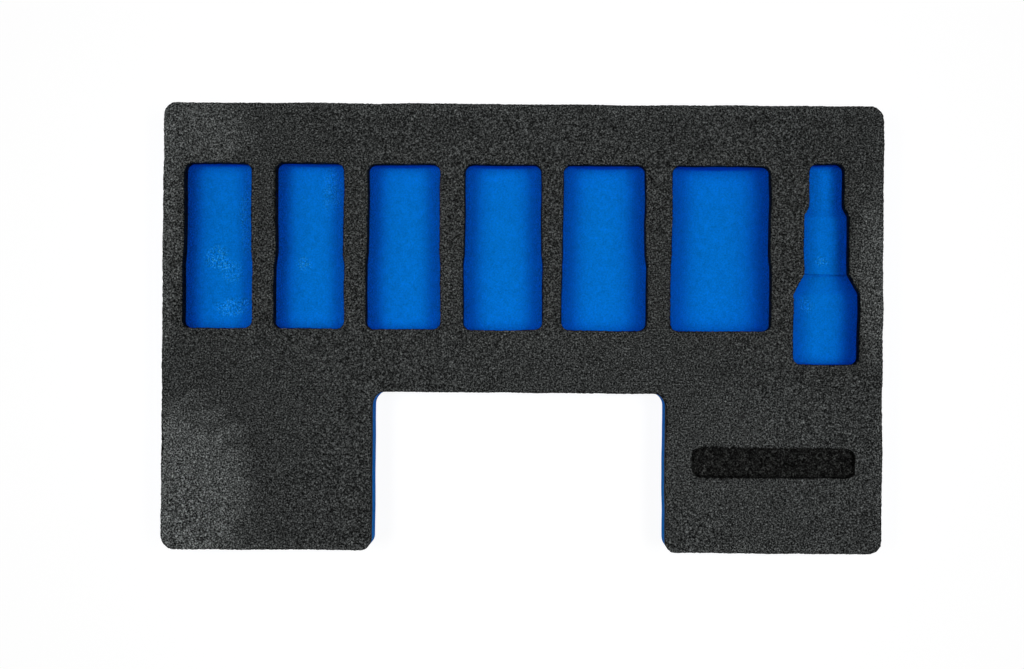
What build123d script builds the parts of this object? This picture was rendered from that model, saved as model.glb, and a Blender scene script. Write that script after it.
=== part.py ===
from build123d import *
import os

# Two-colour foam insert for a tool drawer, in millimetres.
# Origin: centre of the underside's outline. +X to the right, +Y to the back, +Z up.
# The deep sockets lie along Y with their drive ends to the back, and the notch opens to the front.

# Foam sheets, with the label recess inside the upper one
film_thickness = 0.2
floor_under_deepest_pocket = 2.85
label_depth = 5.0
sheet_under_label = 5.0
outer_corner_radius = 6.5

# Socket pockets from left to right: each one's width at the nut end
socket_1_width = 34.8
socket_2_width = 35.1
socket_3_width = 37.2
socket_4_width = 39.7
socket_5_width = 42.6
socket_6_width = 50.3

# Walls between the pockets, and between them and the insert's sides
left_wall = 10.0
wall_1_2 = 10.9
wall_2_3 = 10.9
wall_3_4 = 11.3
wall_4_5 = 9.6
wall_5_6 = 11.9
wall_6_to_stepped = 11.0
right_wall = 11.8

# Along each socket pocket, from the back
rear_wall = 30.2
drive_end_length = 44.5
neck_length = 6.0
nut_end_length = 32.2
drive_end_narrower_by = 1.3
socket_axis_depth = 7.0
socket_corner_radius = 4.0

# Stepped pocket, from the back: a slim nose, a shank, a ledge down to a cone, and a thick body
stepped_rear_wall = 29.2
nose_width = 17.1
nose_length = 21.0
nose_taper_length = 4.5
shank_width = 22.0
shank_length = 29.2
ledge_drop = 1.2
cone_length = 9.8
body_width = 32.9
body_length = 35.3
stepped_axis_depth = 10.5
stepped_corner_radius = 3.5

# Notch in the front edge
notch_width = 146.8
notch_depth = 79.3
land_behind_notch = 31.3
notch_inner_radius = 6.5
notch_mouth_radius = 5.5

# Label recess in the right leg
label_width = 80.9
label_height = 14.5
label_side_wall = 13.55
label_front_wall = 37.9
label_corner_radius = 4.0

# How far a cutter runs past a face that it opens, and how near two corners count as one
overrun = 1.0
same_place = 0.01

# Sizes that follow from the ones above
socket_widths = [socket_1_width, socket_2_width, socket_3_width, socket_4_width, socket_5_width, socket_6_width]
walls_on_their_left = [left_wall, wall_1_2, wall_2_3, wall_3_4, wall_4_5, wall_5_6]
overall_width = sum(socket_widths) + sum(walls_on_their_left) + wall_6_to_stepped + body_width + right_wall
socket_length = drive_end_length + neck_length + nut_end_length
overall_depth = rear_wall + socket_length + land_behind_notch + notch_depth
deepest_socket = socket_axis_depth + max(socket_widths) / 2
deepest_pocket = max(deepest_socket, stepped_axis_depth + body_width / 2)
overall_height = deepest_pocket + floor_under_deepest_pocket
top_thickness = label_depth + sheet_under_label
base_thickness = overall_height - top_thickness - film_thickness

# Places that follow
right_side = overall_width / 2
left_side = -right_side
rear_side = overall_depth / 2
front_side = -rear_side
notch_rear = front_side + notch_depth
right_leg_width = label_width + 2 * label_side_wall
notch_right = right_side - right_leg_width
notch_left = notch_right - notch_width
socket_front = rear_side - rear_wall - socket_length
body_centre = right_side - right_wall - body_width / 2
label_centre = (right_side - right_leg_width / 2, front_side + label_front_wall + label_height / 2)


def corners(shape, places):
    """The corners of a flat shape that stand at the given places."""
    return [
        corner
        for corner in shape.vertices()
        for x, y in places
        if abs(corner.X - x) < same_place and abs(corner.Y - y) < same_place
    ]


def outline():
    """The insert seen from above: a rounded rectangle with a notch in its front edge."""
    slab = Rectangle(overall_width, overall_depth)
    notch_centre = Pos((notch_left + notch_right) / 2, front_side)
    shape = slab - notch_centre * Rectangle(notch_width, 2 * notch_depth)
    outer = [(x, y) for x in (left_side, right_side) for y in (front_side, rear_side)]
    inner = [(notch_left, notch_rear), (notch_right, notch_rear)]
    mouth = [(notch_left, front_side), (notch_right, front_side)]
    shape = fillet(corners(shape, outer), outer_corner_radius)
    shape = fillet(corners(shape, inner), notch_inner_radius)
    return fillet(corners(shape, mouth), notch_mouth_radius)


def plan_column(profile, corner_radius):
    """A tall column over a pocket's plan, with its four end corners rounded.

    A profile is a list of (half width, y), with y growing from the pocket's front end."""
    right = [(half_width, y) for half_width, y in profile]
    left = [(-half_width, y) for half_width, y in reversed(profile)]
    plan = make_face(Polyline(*right, *left, close=True))
    ends = [right[0], right[-1], left[0], left[-1]]
    plan = fillet(corners(plan, ends), corner_radius)
    return extrude(Pos(0, 0, -overall_height) * plan, 2 * overall_height)


def round_trough(profile):
    """The solid that a profile sweeps about the pocket's own axis."""
    front = (0, profile[0][1])
    rear = (0, profile[-1][1])
    return revolve(make_face(Polyline(front, *profile, rear, close=True)), Axis.Y)


def pocket_cutter(plan, trough, axis_depth, corner_radius):
    """What is milled out for one tool: a half-round trough, open straight up from its axis."""
    widest = max(half_width for half_width, y in plan)
    length = plan[-1][1]
    space_above = Pos(0, length / 2, (axis_depth + overrun) / 2) * Box(2 * widest, length, axis_depth + overrun)
    return plan_column(plan, corner_radius) & (round_trough(trough) + space_above)


def socket_cutter(width):
    """The pocket of one deep socket: its nut end at the front, and a slimmer drive end behind a short neck."""
    nut_radius = width / 2
    drive_radius = (width - drive_end_narrower_by) / 2
    profile = [
        (nut_radius, 0),
        (nut_radius, nut_end_length),
        (drive_radius, nut_end_length + neck_length),
        (drive_radius, socket_length),
    ]
    return pocket_cutter(profile, profile, socket_axis_depth, socket_corner_radius)


def stepped_cutter():
    """The pocket of the tool with a slim nose. Its floor drops by a small ledge where the cone begins."""
    cone_rear = body_length + cone_length
    shank_rear = cone_rear + shank_length
    nose_front = shank_rear + nose_taper_length
    body = [(body_width / 2, 0), (body_width / 2, body_length)]
    nose = [(nose_width / 2, nose_front), (nose_width / 2, nose_front + nose_length)]
    shank = [(shank_width / 2, cone_rear), (shank_width / 2, shank_rear)]
    ledge = [(shank_width / 2 + ledge_drop, cone_rear)]
    return pocket_cutter(body + shank + nose, body + ledge + shank + nose, stepped_axis_depth, stepped_corner_radius)


def all_pockets():
    """The cutters of the socket pockets and the stepped pocket, in their places."""
    cutters = []
    left = left_side
    for wall, width in zip(walls_on_their_left, socket_widths):
        centre = left + wall + width / 2
        cutters.append(Pos(centre, socket_front, overall_height - socket_axis_depth) * socket_cutter(width))
        left = centre + width / 2
    stepped_front = rear_side - stepped_rear_wall - stepped_length()
    cutters.append(Pos(body_centre, stepped_front, overall_height - stepped_axis_depth) * stepped_cutter())
    return cutters


def stepped_length():
    """The stepped pocket's whole length."""
    return nose_length + nose_taper_length + shank_length + cone_length + body_length


def label_cutter():
    """The shallow recess for a label, which stays inside the upper sheet."""
    x, y = label_centre
    flat = RectangleRounded(label_width, label_height, label_corner_radius)
    return extrude(Pos(x, y, overall_height - label_depth) * flat, label_depth + overrun)


def layer(bottom, thickness, cutters):
    """One layer of the insert, from its underside's height, with what is milled out of it."""
    sheet = extrude(Pos(0, 0, bottom) * outline(), thickness)
    for cutter in cutters:
        sheet = sheet - cutter
    return sheet


os.makedirs("parts", exist_ok=True)
pockets = all_pockets()
top_bottom = base_thickness + film_thickness
export_step(layer(0, base_thickness, pockets), "parts/base_foam_layer.step")
export_step(layer(base_thickness, film_thickness, pockets), "parts/bonding_film.step")
export_step(layer(top_bottom, top_thickness, pockets + [label_cutter()]), "parts/top_foam_layer.step")
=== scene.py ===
from math import atan2, radians

import bpy
import numpy as np
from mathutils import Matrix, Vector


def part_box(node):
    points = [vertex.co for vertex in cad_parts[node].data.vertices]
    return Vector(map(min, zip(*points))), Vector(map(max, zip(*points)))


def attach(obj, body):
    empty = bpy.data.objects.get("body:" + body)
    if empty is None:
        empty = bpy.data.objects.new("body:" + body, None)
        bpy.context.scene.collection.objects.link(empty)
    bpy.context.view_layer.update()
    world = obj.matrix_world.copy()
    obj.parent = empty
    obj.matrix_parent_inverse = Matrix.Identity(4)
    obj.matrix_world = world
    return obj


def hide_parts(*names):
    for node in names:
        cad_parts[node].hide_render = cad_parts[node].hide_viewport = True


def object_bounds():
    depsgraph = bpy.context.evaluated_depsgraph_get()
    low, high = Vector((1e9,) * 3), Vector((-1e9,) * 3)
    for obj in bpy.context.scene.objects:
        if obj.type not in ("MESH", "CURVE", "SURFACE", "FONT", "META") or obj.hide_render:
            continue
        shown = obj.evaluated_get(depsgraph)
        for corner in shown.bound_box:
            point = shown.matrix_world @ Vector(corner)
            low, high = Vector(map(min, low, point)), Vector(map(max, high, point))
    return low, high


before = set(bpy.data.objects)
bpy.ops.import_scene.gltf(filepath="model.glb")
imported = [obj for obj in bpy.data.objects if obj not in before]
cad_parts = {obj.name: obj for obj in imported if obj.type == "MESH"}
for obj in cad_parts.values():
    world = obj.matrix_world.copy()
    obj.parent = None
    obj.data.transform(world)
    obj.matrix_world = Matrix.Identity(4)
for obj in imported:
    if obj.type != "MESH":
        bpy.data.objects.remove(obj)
cad_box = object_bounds()

bl_info = {
    "name": "Tool tray insert",
    "version": (1, 0, 0),
    "blender": (4, 5, 0),
    "location": "3D View > Sidebar > Tray",
    "description": "Builds a two-colour foam insert for a tool drawer",
    "category": "Object",
}

MM = 0.001

# Heights of the two seams and of the top face, as the solids have them
BASE_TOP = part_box("base_foam_layer")[1].z
TOP_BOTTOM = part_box("top_foam_layer")[0].z
TOP_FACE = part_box("top_foam_layer")[1].z

# The stepped pocket's axis, and the ledge where its shank ends
STEPPED_X = 151.75 * MM
STEPPED_AXIS_Z = TOP_FACE - 10.5 * MM
LEDGE_Y = 27.85 * MM
LEDGE_RADIUS = 12.2 * MM

# The disc that cuts the crease at that ledge: its number of sides, and where it is cut off
CREASE_SIDES = 96
CREASE_TOP = BASE_TOP - 1.0 * MM

# Corners of the solids nearer than this are one
SAME_PLACE = 0.001 * MM

# How far a knife reaches past an outer face of the block, and how much wider than the block it is
KNIFE_SPARE = 5 * MM
KNIFE_MARGIN = 20 * MM

# The drift's two directions, each with its length as a share of the setting. Its pattern is
# drawn out along the height, so that both sheets drift as one.
DRIFTS = (("X", 1.0), ("Y", 1.25))
DRIFT_STRETCH = 10000

# Sizes of the patterns that swell the upper face and tear the rims
SWELL_SIZE = 60 * MM
TORN_CELL_SIZE = 1.1 * MM

# A rim is what lies this near the top face and isn't level, and its weight fades point by point
RIM_HEIGHT = 1.0 * MM
RIM_LEVEL = 0.97
RIM_FADE = (0.8, 0.5, 0.25)

# Steps between a vertex group's weights of 0 and 1
WEIGHT_STEPS = 8

# The share of the faces that thinning keeps, and how strongly it spares the rims
FACES_KEPT = 0.25
RIMS_SPARED = 4.0

# Faces that meet at less than this are shaded as one
SMOOTH_BELOW = radians(50)

# The skin's crumbs: how strongly they stand out, how dark the gaps between them get, and how
# fast they lighten above their mean
GRAIN_CONTRAST = 2.45
GRAIN_DARKEST = 0.05
GRAIN_CURVE = 3.5

# How much the skin varies from clump to clump, and how many times as light as the cut
# charcoal's darkest patches its lightest ones are
CLUMP_CONTRAST = 0.7
CUT_CONTRAST = 40.0

# The skin's lower edge in millimetres below the top face, and how ragged it is
SKIN_ENDS = (0.60, 0.30)
SKIN_RAG = 0.5

# Paler places on the skin, partly dust and partly painted sheen, in millimetres: middle, reach,
# and how much light they add
PALE_DUST_AND_SHEEN = (
    (-168, -82, 32, 42, 1.25),
    (-167, 98, 31, 18, 0.75),
    (-179, 50, 9, 50, 0.5),
    (177, 28, 12, 38, 0.7),
    (128, -72, 70, 45, 0.2),
)

# The paler outer edge, partly worn and partly painted sheen: how far in from the sides it fades in
# millimetres, and the light it adds
EDGE_FADE = (1.0, 7.0)
EDGE_WEAR_AND_SHEEN = 0.2

# Places in the pockets in millimetres where tools have rubbed: middle, reach and strength
RUBBED = (
    (-155, 35, 7, 6, 1.0),
    (-148, 28, 6, 6, 0.6),
    (-147, 10, 9, 5, 0.9),
    (-140, 57, 4, 22, 0.5),
    (-112, 32, 4, 4, 0.8),
    (-97, 70, 5, 12, 0.5),
    (152, 35, 4, 3, 0.9),
    (144, 13, 4, 4, 0.6),
)

# Fainter rubbing anywhere, and the specks that rubbing leaves: the part of a noise that shows
WEAR_RANGE = (0.62, 0.74)
WEAR_STRENGTH = 0.4
SPECK_RANGE = (0.50, 0.68)

# A spot's outline: the size of its waves in millimetres, how far they carry it in and out on
# the skin and in the pockets, and where its edge fades, as the square of its share of the reach
SPOT_WAVES = 9.0
SKIN_SPOT_WANDER = 2.0
RUBBED_SPOT_WANDER = 3.2
SPOT_FADE = (0.3, 1.5)

# Where the pockets lie in millimetres: how far in from the sides, and from which place along Y
POCKETS_FROM_SIDES = (4.0, 6.0)
POCKETS_FROM_Y = (-26.0, -22.0)

# A pocket's rising wall, which gets painted shade: how level its faces lie where it is all wall
# and where it is all floor, and the height in millimetres from which it begins in any case
WALL_LEVEL = (0.60, 1.0)
WALL_FOOT = 8.0

# How much the blue foam's grain varies, how much more from a height in millimetres up to the
# film and where it is rubbed, and how much the coarser mottling varies
BLUE_GRAIN = 0.8
SEAM_GRAIN = 1.6
SEAM_GRAIN_FOOT = 14.0
RUBBED_GRAIN = 1.4
BLUE_MOTTLE = 0.4

# The floor: its size, its own grey, the grey on which the camera sees the shadow, and its glow
FLOOR_SIZE = 12
FLOOR_GREY = 0.9
FLOOR_SHADOW = 0.16
FLOOR_GLOW = 0.92
WHITE = (1, 1, 1, 1)

# The camera, placed in metres so that the outline, the notch and the pockets lie in the frame as
# in the photograph. Its lens and sensor are in millimetres.
CAMERA_PLACE = (0.00577, -0.01093, 1.20845)
CAMERA_TURN = (radians(0.373), radians(0.523), radians(0.42))
CAMERA_LENS = 82.63
CAMERA_SENSOR = 36
CAMERA_REACH = 50

# Inputs and output of a Mix node that mixes colours
MIX_SHARE, MIX_FIRST, MIX_SECOND, MIX_RESULT = 0, 6, 7, 2


# ---------------------------------------------------------------- settings

class FoamShape(bpy.types.PropertyGroup):
    """Sizes of what cutting leaves on the foam."""

    grain_step: bpy.props.FloatProperty(
        name="Mesh step",
        description="Distance between the mesh's points before it is thinned",
        default=0.6 * MM, min=0.3 * MM, max=2 * MM, precision=5, unit="LENGTH")
    drift: bpy.props.FloatProperty(
        name="Drift",
        description="How far the cut outlines wander off their lines, from end to end",
        default=1.3 * MM, min=0, max=3 * MM, precision=5, unit="LENGTH")
    drift_length: bpy.props.FloatProperty(
        name="Drift length",
        description="Distance over which the outlines wander",
        default=26 * MM, min=5 * MM, max=200 * MM, precision=5, unit="LENGTH")
    swell: bpy.props.FloatProperty(
        name="Swell",
        description="How much the upper face rises and falls, from end to end",
        default=0.5 * MM, min=0, max=2 * MM, precision=5, unit="LENGTH")
    rag: bpy.props.FloatProperty(
        name="Ragged rims",
        description="How far torn cells make the rims uneven, from end to end",
        default=0.9 * MM, min=0, max=2 * MM, precision=5, unit="LENGTH")
    rim_drop: bpy.props.FloatProperty(
        name="Rim drop",
        description="How far the cutter pressed the rims down",
        default=0.35 * MM, min=0, max=1 * MM, precision=5, unit="LENGTH")
    crease_width: bpy.props.FloatProperty(
        name="Crease width",
        description="Width of the cutter's crease at the stepped pocket's ledge",
        default=0.9 * MM, min=0.2 * MM, max=2 * MM, precision=5, unit="LENGTH")
    crease_depth: bpy.props.FloatProperty(
        name="Crease depth",
        description="Depth of that crease below the ledge",
        default=2.4 * MM, min=0.1 * MM, max=3 * MM, precision=5, unit="LENGTH")


class FoamColours(bpy.types.PropertyGroup):
    """Colours of the foams and the film between them."""

    skin: bpy.props.FloatVectorProperty(
        name="Charcoal skin",
        description="Mean colour of the upper sheet's grained skin",
        default=(0.0417, 0.0442, 0.0437), min=0, max=1, size=3, subtype="COLOR")
    cut: bpy.props.FloatVectorProperty(
        name="Cut charcoal",
        description="Colour of the upper sheet where it is cut",
        default=(0.0125, 0.0130, 0.0125), min=0, max=1, size=3, subtype="COLOR")
    blue: bpy.props.FloatVectorProperty(
        name="Blue",
        description="Colour of the lower sheet",
        default=(0.0003, 0.228, 0.795), min=0, max=1, size=3, subtype="COLOR")
    # Painted shade: a darker blue that stands in for the shade on the pockets' rising walls
    shaded_blue: bpy.props.FloatVectorProperty(
        name="Deep blue",
        description="Colour of the lower sheet where a pocket's wall rises",
        default=(0.0003, 0.188, 0.800), min=0, max=1, size=3, subtype="COLOR")
    scuff: bpy.props.FloatVectorProperty(
        name="Scuffed blue",
        description="Colour of the blue foam where a tool has rubbed it",
        default=(0.030, 0.410, 0.950), min=0, max=1, size=3, subtype="COLOR")
    film: bpy.props.FloatVectorProperty(
        name="Bonding film",
        description="Colour of the film between the sheets",
        default=(0.010, 0.016, 0.030), min=0, max=1, size=3, subtype="COLOR")


class StudioLight(bpy.types.PropertyGroup):
    """Light over the insert: one soft strip on each side, as on a copy stand."""

    lamp_power: bpy.props.FloatProperty(
        name="Lamp power",
        description="Power of each strip lamp",
        default=0.61, min=0, unit="POWER")
    lamp_width: bpy.props.FloatProperty(
        name="Lamp width",
        description="Width of each strip lamp",
        default=0.32, min=0.05, unit="LENGTH")
    lamp_length: bpy.props.FloatProperty(
        name="Lamp length",
        description="Length of each strip lamp, along the pockets",
        default=0.8, min=0.05, unit="LENGTH")
    lamp_aside: bpy.props.FloatProperty(
        name="Lamp aside",
        description="How far each lamp hangs to the side",
        default=0.55, min=0, unit="LENGTH")
    lamp_height: bpy.props.FloatProperty(
        name="Lamp height",
        description="How high the lamps hang",
        default=1.595, min=0.1, unit="LENGTH")
    lamp_aim: bpy.props.FloatProperty(
        name="Lamp aim",
        description="How far from the middle each lamp points, on its own side",
        default=0.18, unit="LENGTH")
    lamp_spread: bpy.props.FloatProperty(
        name="Lamp spread",
        description="Angle of each lamp's beam",
        default=radians(34), min=radians(5), max=radians(180), subtype="ANGLE")
    room: bpy.props.FloatProperty(
        name="Room light",
        description="Light that comes from all round",
        default=0.02, min=0, max=2)


# ---------------------------------------------------------------- modelling

def pick(obj):
    """Makes one object the only selected and the active one."""
    bpy.ops.object.select_all(action="DESELECT")
    obj.select_set(True)
    bpy.context.view_layer.objects.active = obj
    return obj


def finish_with(obj, kind, **settings):
    """Adds one modifier and applies it."""
    pick(obj)
    modifier = obj.modifiers.new(kind.lower(), kind)
    for name, value in settings.items():
        setattr(modifier, name, value)
    bpy.ops.object.modifier_apply(modifier=modifier.name)


def copy_of(obj, name):
    """A copy with a mesh of its own."""
    twin = bpy.data.objects.new(name, obj.data.copy())
    bpy.context.scene.collection.objects.link(twin)
    twin.data.materials.clear()
    return twin


def solid_copy(node):
    """The shape of a CAD node as one closed mesh."""
    twin = pick(copy_of(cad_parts[node], node + "_copy"))
    bpy.ops.object.mode_set(mode="EDIT")
    bpy.ops.mesh.select_all(action="SELECT")
    bpy.ops.mesh.remove_doubles(threshold=SAME_PLACE)
    bpy.ops.object.mode_set(mode="OBJECT")
    return twin


def remove(obj):
    """Deletes an object and its mesh."""
    mesh = obj.data
    bpy.data.objects.remove(obj)
    bpy.data.meshes.remove(mesh)


def points_and_normals(obj):
    """Every vertex's place and normal."""
    count = len(obj.data.vertices)
    places = np.empty(count * 3, dtype=np.float32)
    normals = np.empty(count * 3, dtype=np.float32)
    obj.data.vertices.foreach_get("co", places)
    obj.data.vertices.foreach_get("normal", normals)
    return places.reshape(-1, 3), normals.reshape(-1, 3)


def weigh(obj, name, weights):
    """Gives the vertices a group, with weights from 0 to 1 in steps."""
    group = obj.vertex_groups.new(name=name)
    levels = np.rint(np.clip(weights, 0, 1) * WEIGHT_STEPS).astype(int)
    for level in range(1, WEIGHT_STEPS + 1):
        group.add(np.flatnonzero(levels == level).tolist(), level / WEIGHT_STEPS, "REPLACE")
    return group.name


def clouds(name, size, depth):
    """A cloud pattern for moving points."""
    pattern = bpy.data.textures.new(name, "CLOUDS")
    pattern.noise_scale = size
    pattern.noise_depth = depth
    pattern.noise_basis = "ORIGINAL_PERLIN"
    return pattern


def near_rims(obj):
    """A weight that is 1 on the upper rims and falls to 0 a few points away from them."""
    places, normals = points_and_normals(obj)
    high = places[:, 2] > TOP_FACE - RIM_HEIGHT
    tilted = np.abs(normals[:, 2]) < RIM_LEVEL
    weight = np.where(high & tilted, 1.0, 0.0)
    ends = np.empty(len(obj.data.edges) * 2, dtype=np.int32)
    obj.data.edges.foreach_get("vertices", ends)
    one, other = ends.reshape(-1, 2).T
    for share in RIM_FADE:
        beside = np.zeros(len(weight), dtype=bool)
        beside[one[weight[other] > 0]] = True
        beside[other[weight[one] > 0]] = True
        weight[beside & (weight == 0)] = share
    return weight


def crease_cutter(shape):
    """A thin half disc that cuts the crease below the stepped pocket's ledge."""
    bpy.ops.object.select_all(action="DESELECT")
    bpy.ops.mesh.primitive_cylinder_add(
        vertices=CREASE_SIDES, radius=LEDGE_RADIUS + shape.crease_depth, depth=shape.crease_width,
        location=(STEPPED_X, LEDGE_Y, STEPPED_AXIS_Z), rotation=(radians(90), 0, 0))
    disc = bpy.context.object
    bpy.ops.object.transform_apply(location=True, rotation=True, scale=True)
    bpy.ops.object.mode_set(mode="EDIT")
    bpy.ops.mesh.select_all(action="SELECT")
    bpy.ops.mesh.bisect(
        plane_co=(STEPPED_X, LEDGE_Y, CREASE_TOP), plane_no=(0, 0, 1), use_fill=True,
        clear_outer=True)
    bpy.ops.object.mode_set(mode="OBJECT")
    return disc


def knife_between(bottom, top):
    """A slab between two heights, larger than the insert."""
    low, high = cad_box
    bpy.ops.object.select_all(action="DESELECT")
    bpy.ops.mesh.primitive_cube_add(size=1, location=(0, 0, (bottom + top) / 2))
    knife = bpy.context.object
    knife.scale = (high.x - low.x + KNIFE_MARGIN, high.y - low.y + KNIFE_MARGIN, top - bottom)
    bpy.ops.object.transform_apply(location=True, rotation=True, scale=True)
    return knife


def layer_of(block, name, bottom, top):
    """What lies in the block between two heights, as a piece of its own."""
    piece = copy_of(block, name)
    piece.data.name = name
    knife = knife_between(bottom, top)
    finish_with(piece, "BOOLEAN", operation="INTERSECT", solver="MANIFOLD", object=knife)
    remove(knife)
    pick(piece)
    bpy.ops.object.shade_smooth_by_angle(angle=SMOOTH_BELOW)
    return piece


def dress(piece, node, material):
    """Puts a piece in its node's place, with the node's finish."""
    piece.data.materials.clear()
    piece.data.materials.append(material)
    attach(piece, "root")
    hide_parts(node)


# ---------------------------------------------------------------- materials

class Signal:
    """A socket in a material. Arithmetic on it adds Math nodes."""

    def __init__(self, recipe, socket):
        self.recipe = recipe
        self.socket = socket

    def math(self, operation, first, second=0.0):
        sockets = {0: first, 1: second}
        return self.recipe.add("ShaderNodeMath", {"operation": operation}, sockets)

    def __add__(self, other):
        return self.math("ADD", self, other)

    def __sub__(self, other):
        return self.math("SUBTRACT", self, other)

    def __rsub__(self, other):
        return self.math("SUBTRACT", other, self)

    def __mul__(self, other):
        return self.math("MULTIPLY", self, other)

    def __truediv__(self, other):
        return self.math("DIVIDE", self, other)

    def __pow__(self, other):
        return self.math("POWER", self, other)

    def __rpow__(self, other):
        return self.math("POWER", other, self)

    __radd__ = __add__
    __rmul__ = __mul__

    def size(self):
        """The value without its sign."""
        return self.math("ABSOLUTE", self)

    def least(self, other):
        """The lesser of two values."""
        return self.math("MINIMUM", self, other)

    def most(self, other):
        """The greater of two values."""
        return self.math("MAXIMUM", self, other)

    def swing(self, amount=1.0):
        """A noise moved to lie about 0, with the given amount from end to end."""
        return (self - 0.5) * amount

    def ramp(self, low, high):
        """0 below low, 1 above high and smooth between them."""
        sockets = {"Value": self, "From Min": low, "From Max": high}
        return self.recipe.add("ShaderNodeMapRange", {"interpolation_type": "SMOOTHSTEP"}, sockets)


class Recipe:
    """The node tree of one material."""

    def __init__(self, name):
        self.material = bpy.data.materials.new(name)
        self.material.use_nodes = True
        self.nodes = self.material.node_tree.nodes
        self.links = self.material.node_tree.links
        self.nodes.clear()
        self.place = self.add("ShaderNodeTexCoord", output="Object")

    def add(self, kind, settings=None, sockets=None, output=0):
        """One node: its type, its settings, and the values or links of its sockets."""
        node = self.nodes.new(kind)
        for name, value in (settings or {}).items():
            setattr(node, name, value)
        for key, value in (sockets or {}).items():
            if isinstance(value, Signal):
                self.links.new(value.socket, node.inputs[key])
            else:
                node.inputs[key].default_value = value
        return Signal(self, node.outputs[output]) if node.outputs else None

    def axis(self, name):
        """One of the place's coordinates, in millimetres."""
        metres = self.add("ShaderNodeSeparateXYZ", None, {0: self.place}, output=name)
        return metres * (1 / MM)

    def level(self):
        """How level the surface lies: 1 faces straight up, 0 stands upright."""
        facing = self.add("ShaderNodeTexCoord", output="Normal")
        return self.add("ShaderNodeSeparateXYZ", None, {0: facing}, output="Z")

    def from_sides(self):
        """The distance from the nearest of the insert's four sides, in millimetres."""
        high = cad_box[1]
        across = high.x / MM - self.axis("X").size()
        along = high.y / MM - self.axis("Y").size()
        return across.least(along)

    def noise(self, size, detail=2.0, roughness=0.5, distortion=0.0):
        """Clouds of a given size in millimetres, from 0 to 1 about 0.5."""
        return self.add("ShaderNodeTexNoise", {"noise_dimensions": "3D"}, {
            "Vector": self.place, "Scale": 1 / (size * MM), "Detail": detail,
            "Roughness": roughness, "Distortion": distortion})

    def spot(self, x, y, reach_x, reach_y, wander):
        """A soft spot seen from above, in millimetres: 1 inside, 0 outside."""
        across = (self.axis("X") - x) / reach_x
        along = (self.axis("Y") - y) / reach_y
        waves = self.noise(SPOT_WAVES, detail=3.0)
        off = across * across + along * along + waves.swing(wander)
        return 1 - off.ramp(*SPOT_FADE)

    def mix(self, share, first, second, blend="MIX"):
        """Two colours, mixed."""
        settings = {"data_type": "RGBA", "blend_type": blend}
        sockets = {
            MIX_SHARE: share, MIX_FIRST: self.colour(first), MIX_SECOND: self.colour(second)}
        return self.add("ShaderNodeMix", settings, sockets, output=MIX_RESULT)

    def shade(self, colour, level):
        """A colour times a level."""
        levels = {"Red": level, "Green": level, "Blue": level}
        grey = self.add("ShaderNodeCombineColor", None, levels)
        return self.mix(1.0, colour, grey, "MULTIPLY")

    @staticmethod
    def colour(value):
        """A colour for a socket: a setting needs an alpha, and a signal doesn't."""
        return value if isinstance(value, Signal) else (*value, 1.0)

    def bump(self, height, distance, strength):
        """A normal from a height between 0 and 1, over a distance in millimetres."""
        sockets = {"Height": height, "Distance": distance * MM, "Strength": strength}
        return self.add("ShaderNodeBump", None, sockets)

    def finish(self, colour, roughness, gloss, normal):
        """The shader, and the material it makes."""
        return self.show(self.add("ShaderNodeBsdfPrincipled", None, {
            "Base Color": colour, "Roughness": roughness, "Specular IOR Level": gloss,
            "Normal": normal}))

    def show(self, shader):
        """The material with a shader as its surface."""
        self.add("ShaderNodeOutputMaterial", None, {"Surface": shader})
        return self.material


def charcoal_foam(colours):
    """The upper sheet: a grained skin on its face, and darker open cells where it is cut."""
    foam = Recipe("charcoal_foam")
    crumbs = foam.noise(size=0.74, detail=1.0, distortion=0.4)
    clumps = foam.noise(size=6.0, detail=5.0, roughness=0.7)
    grain = (1 + crumbs.swing(GRAIN_CONTRAST)).most(GRAIN_DARKEST) ** GRAIN_CURVE
    grain = grain * (1 + clumps.swing(CLUMP_CONTRAST))

    # the skin is paler towards some of its edges: partly dust and handling, partly painted sheen
    # that stands in for the lamps' light
    light = 1.0
    # painted sheen and dust: pale spots added to the skin's colour
    for x, y, reach_x, reach_y, strength in PALE_DUST_AND_SHEEN:
        light = foam.spot(x, y, reach_x, reach_y, SKIN_SPOT_WANDER) * strength + light
    # painted sheen and wear: the skin is made paler along its outer edge
    light = light + (1 - foam.from_sides().ramp(*EDGE_FADE)) * EDGE_WEAR_AND_SHEEN
    skin = foam.shade(colours.skin, grain * light)

    cells = foam.noise(size=3.0, detail=3.0, roughness=0.6)
    cut = foam.shade(colours.cut, grain * CUT_CONTRAST ** cells.swing())

    ragged_height = foam.axis("Z") + foam.noise(size=0.9, detail=1.0).swing(SKIN_RAG)
    on_skin = ragged_height.ramp(*(TOP_FACE / MM - depth for depth in SKIN_ENDS))
    return foam.finish(
        colour=foam.mix(on_skin, cut, skin),
        roughness=0.85 - 0.25 * crumbs,
        gloss=0.02,
        normal=foam.bump(crumbs, distance=0.35, strength=0.6))


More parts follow.
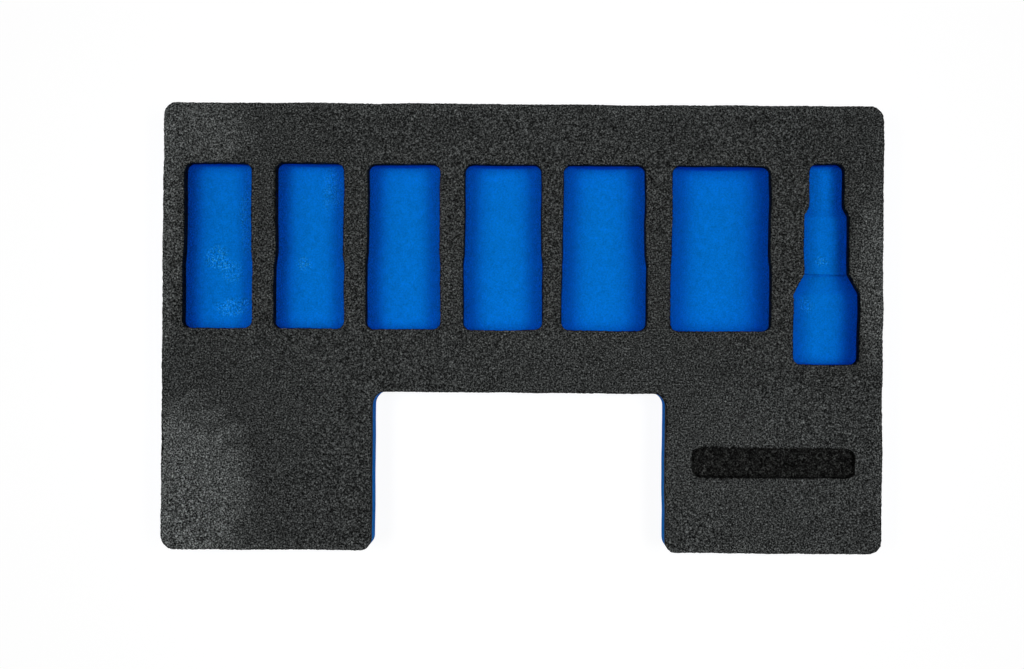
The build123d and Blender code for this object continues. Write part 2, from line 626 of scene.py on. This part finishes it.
def blue_foam(colours):
    """The lower sheet: even and matt, with faint mottling, a few rubbed spots and painted shade on
    the pockets' rising walls.
    """
    foam = Recipe("blue_foam")
    height = foam.axis("Z")
    fine = foam.noise(size=0.9, roughness=0.6)
    mottle = foam.noise(size=4.0, detail=3.0, roughness=0.6)

    # painted shade: the pockets' rising walls get a darker, deeper blue than their floors and the
    # insert's sides, standing in for the shade that falls on them
    in_pockets = foam.from_sides().ramp(*POCKETS_FROM_SIDES) * foam.axis("Y").ramp(*POCKETS_FROM_Y)
    steep = 1 - foam.level().ramp(*WALL_LEVEL)
    painted_wall_shade = steep.most(height.ramp(WALL_FOOT, BASE_TOP / MM))
    # the painted shade is mixed into the blue here
    blue = foam.mix(painted_wall_shade * in_pockets, colours.blue, colours.shaded_blue)

    # rubbing leaves pale specks
    rubbed = foam.noise(size=9.0, detail=4.0, roughness=0.7).ramp(*WEAR_RANGE) * WEAR_STRENGTH
    for x, y, reach_x, reach_y, strength in RUBBED:
        rubbed = rubbed + foam.spot(x, y, reach_x, reach_y, RUBBED_SPOT_WANDER) * strength
    specks = rubbed.least(1.0) * foam.noise(size=0.75, detail=1.0).ramp(*SPECK_RANGE)

    near_film = height.ramp(SEAM_GRAIN_FOOT, BASE_TOP / MM)
    grain = BLUE_GRAIN + SEAM_GRAIN * near_film + RUBBED_GRAIN * rubbed
    light = 1 + fine.swing(grain) + mottle.swing(BLUE_MOTTLE)
    return foam.finish(
        colour=foam.shade(foam.mix(specks, blue, colours.scuff), light),
        roughness=0.9 - 0.1 * fine,
        gloss=0.03,
        normal=foam.bump(fine, distance=0.12, strength=0.6))


def bonding_film(colours):
    """The film between the sheets: thin, dark and slightly uneven."""
    film = Recipe("bonding_film")
    ripple = film.noise(size=2.5)
    return film.finish(
        colour=film.shade(colours.film, 1 + ripple.swing(0.6)),
        roughness=0.5 + 0.2 * ripple,
        gloss=0.4,
        normal=film.bump(ripple, distance=0.05, strength=0.5))


def white_floor():
    """The floor: white to the camera, apart from the object's soft shadow."""
    floor = Recipe("white_floor")
    rays = ("Is Camera Ray", "Is Glossy Ray", "Is Transmission Ray")
    camera, glossy, passing = (floor.add("ShaderNodeLightPath", output=ray) for ray in rays)
    seen = camera.most(glossy).most(passing)
    matt, faint = (
        floor.add("ShaderNodeBsdfDiffuse", None, {"Color": (grey, grey, grey, 1)})
        for grey in (FLOOR_GREY, FLOOR_SHADOW))
    glow = floor.add("ShaderNodeEmission", None, {"Color": WHITE, "Strength": FLOOR_GLOW})
    shown = floor.add("ShaderNodeAddShader", None, {0: glow, 1: faint})
    return floor.show(floor.add("ShaderNodeMixShader", None, {0: seen, 1: matt, 2: shown}))


# ---------------------------------------------------------------- operators

class TRAY_OT_block(bpy.types.Operator):
    """Make the laminated block that all three layers are cut from"""

    bl_idname = "tray.block"
    bl_label = "Laminated block"

    def execute(self, context):
        shape = context.scene.tray_shape
        block = self.laminate()
        finish_with(block, "REMESH", mode="VOXEL", voxel_size=shape.grain_step)
        self.let_drift(block, shape)
        rims = near_rims(block)
        self.tear(block, shape, rims)

        # fewer faces away from the rims
        plain = weigh(block, "plain", 1 - rims)
        finish_with(
            block, "DECIMATE", ratio=FACES_KEPT, vertex_group=plain,
            vertex_group_factor=RIMS_SPARED, use_collapse_triangulate=True)
        crease = crease_cutter(shape)
        finish_with(block, "BOOLEAN", operation="DIFFERENCE", solver="MANIFOLD", object=crease)
        remove(crease)
        block.vertex_groups.clear()
        return {"FINISHED"}

    def laminate(self):
        """The three solids as one."""
        block = solid_copy("base_foam_layer")
        block.name = "laminated_block"
        for node in ("bonding_film", "top_foam_layer"):
            layer = solid_copy(node)
            finish_with(block, "BOOLEAN", operation="UNION", solver="MANIFOLD", object=layer)
            remove(layer)
        return block

    def let_drift(self, block, shape):
        """The cutter wandered a little, and the upper face isn't quite flat."""
        bpy.ops.object.empty_add(location=(0, 0, 0))
        upright = bpy.context.object
        upright.scale = (1, 1, DRIFT_STRETCH)
        bpy.context.view_layer.update()
        for axis, share in DRIFTS:
            drift = clouds("drift_" + axis, shape.drift_length * share, depth=1)
            finish_with(
                block, "DISPLACE", texture=drift, direction=axis, strength=shape.drift,
                texture_coords="OBJECT", texture_coords_object=upright)
        bpy.data.objects.remove(upright)
        places, _ = points_and_normals(block)
        upper = weigh(block, "upper", places[:, 2] / TOP_FACE)
        finish_with(
            block, "DISPLACE", texture=clouds("swell", SWELL_SIZE, depth=0), direction="Z",
            strength=shape.swell, vertex_group=upper, texture_coords="LOCAL")

    def tear(self, block, shape, rims):
        """Torn cells make the rims ragged, and the cutter pressed them down."""
        ragged = weigh(block, "rims", rims)
        finish_with(
            block, "DISPLACE", texture=clouds("torn_cells", TORN_CELL_SIZE, depth=1),
            direction="NORMAL", strength=shape.rag, vertex_group=ragged, texture_coords="LOCAL")
        finish_with(
            block, "DISPLACE", direction="Z", strength=-shape.rim_drop, mid_level=0,
            vertex_group=ragged)


class TRAY_OT_top_foam(bpy.types.Operator):
    """Cut the charcoal sheet from the block"""

    bl_idname = "tray.top_foam"
    bl_label = "Charcoal sheet"

    def execute(self, context):
        block = bpy.data.objects["laminated_block"]
        piece = layer_of(block, "charcoal_sheet", TOP_BOTTOM, TOP_FACE + KNIFE_SPARE)
        material = charcoal_foam(context.scene.tray_colours)
        dress(piece, "top_foam_layer", material)
        return {"FINISHED"}


class TRAY_OT_base_foam(bpy.types.Operator):
    """Cut the blue sheet from the block"""

    bl_idname = "tray.base_foam"
    bl_label = "Blue sheet"

    def execute(self, context):
        block = bpy.data.objects["laminated_block"]
        piece = layer_of(block, "blue_sheet", -KNIFE_SPARE, BASE_TOP)
        dress(piece, "base_foam_layer", blue_foam(context.scene.tray_colours))
        return {"FINISHED"}


class TRAY_OT_film(bpy.types.Operator):
    """Cut the bonding film from the block, and clear the block away"""

    bl_idname = "tray.film"
    bl_label = "Bonding film"

    def execute(self, context):
        block = bpy.data.objects["laminated_block"]
        piece = layer_of(block, "film_between_sheets", BASE_TOP, TOP_BOTTOM)
        dress(piece, "bonding_film", bonding_film(context.scene.tray_colours))
        remove(block)
        return {"FINISHED"}


class TRAY_OT_studio(bpy.types.Operator):
    """Set up the camera, the floor, the lamps and the room light"""

    bl_idname = "tray.studio"
    bl_label = "Studio"

    def execute(self, context):
        light = context.scene.tray_light
        self.make_camera(context.scene)
        self.make_floor()
        self.make_lamps(context.scene, light)
        self.make_room(context.scene, light)
        context.scene.view_settings.view_transform = "Standard"
        return {"FINISHED"}

    def make_camera(self, scene):
        data = bpy.data.cameras.new("camera_above")
        data.sensor_width = CAMERA_SENSOR
        data.sensor_fit = "HORIZONTAL"
        data.lens = CAMERA_LENS
        data.clip_end = CAMERA_REACH
        camera = bpy.data.objects.new("camera_above", data)
        camera.location = CAMERA_PLACE
        camera.rotation_euler = CAMERA_TURN
        scene.collection.objects.link(camera)
        scene.camera = camera

    def make_floor(self):
        bpy.ops.object.select_all(action="DESELECT")
        bpy.ops.mesh.primitive_plane_add(size=FLOOR_SIZE, location=(0, 0, 0))
        floor = bpy.context.object
        floor.name = "floor"
        floor.data.materials.append(white_floor())

    def make_lamps(self, scene, light):
        for name, side in (("left_lamp", -1), ("right_lamp", 1)):
            data = bpy.data.lights.new(name, "AREA")
            data.shape = "RECTANGLE"
            data.size = light.lamp_width
            data.size_y = light.lamp_length
            data.energy = light.lamp_power
            data.spread = light.lamp_spread
            lamp = bpy.data.objects.new(name, data)
            lamp.location = (side * light.lamp_aside, 0, light.lamp_height)
            lean = atan2(light.lamp_aside - light.lamp_aim, light.lamp_height - TOP_FACE)
            lamp.rotation_euler = (0, side * lean, 0)
            scene.collection.objects.link(lamp)

    def make_room(self, scene, light):
        """Faint light from all round, and white where the camera sees past the floor."""
        world = bpy.data.worlds.new("room")
        scene.world = world
        world.use_nodes = True
        nodes, links = world.node_tree.nodes, world.node_tree.links
        nodes.clear()
        path = nodes.new("ShaderNodeLightPath")
        lit = nodes.new("ShaderNodeBackground")
        lit.inputs["Strength"].default_value = light.room
        seen = nodes.new("ShaderNodeBackground")
        for shader in (lit, seen):
            shader.inputs["Color"].default_value = WHITE
        mix = nodes.new("ShaderNodeMixShader")
        links.new(path.outputs["Is Camera Ray"], mix.inputs[0])
        links.new(lit.outputs[0], mix.inputs[1])
        links.new(seen.outputs[0], mix.inputs[2])
        links.new(mix.outputs[0], nodes.new("ShaderNodeOutputWorld").inputs["Surface"])


class TRAY_PT_panel(bpy.types.Panel):
    """The insert's sizes, colours and pieces"""

    bl_idname = "TRAY_PT_panel"
    bl_label = "Tool tray insert"
    bl_space_type = "VIEW_3D"
    bl_region_type = "UI"
    bl_category = "Tray"

    def draw(self, context):
        for name, (title, _) in GROUPS.items():
            box = self.layout.box()
            box.label(text=title)
            settings = getattr(context.scene, name)
            for setting in settings.__annotations__:
                box.prop(settings, setting)
        for step in STEPS:
            self.layout.operator(step.bl_idname)


STEPS = (TRAY_OT_block, TRAY_OT_top_foam, TRAY_OT_base_foam, TRAY_OT_film, TRAY_OT_studio)
GROUPS = {
    "tray_shape": ("Shape", FoamShape),
    "tray_colours": ("Colours", FoamColours),
    "tray_light": ("Light", StudioLight),
}
CLASSES = (FoamShape, FoamColours, StudioLight, *STEPS, TRAY_PT_panel)


def register():
    for cls in CLASSES:
        bpy.utils.register_class(cls)
    for name, (_, group) in GROUPS.items():
        setattr(bpy.types.Scene, name, bpy.props.PointerProperty(type=group))


def unregister():
    for name in GROUPS:
        delattr(bpy.types.Scene, name)
    for cls in reversed(CLASSES):
        bpy.utils.unregister_class(cls)


def main():
    register()
    bpy.ops.tray.block()
    bpy.ops.tray.top_foam()
    bpy.ops.tray.base_foam()
    bpy.ops.tray.film()
    bpy.ops.tray.studio()


if __name__ == "__main__":
    main()
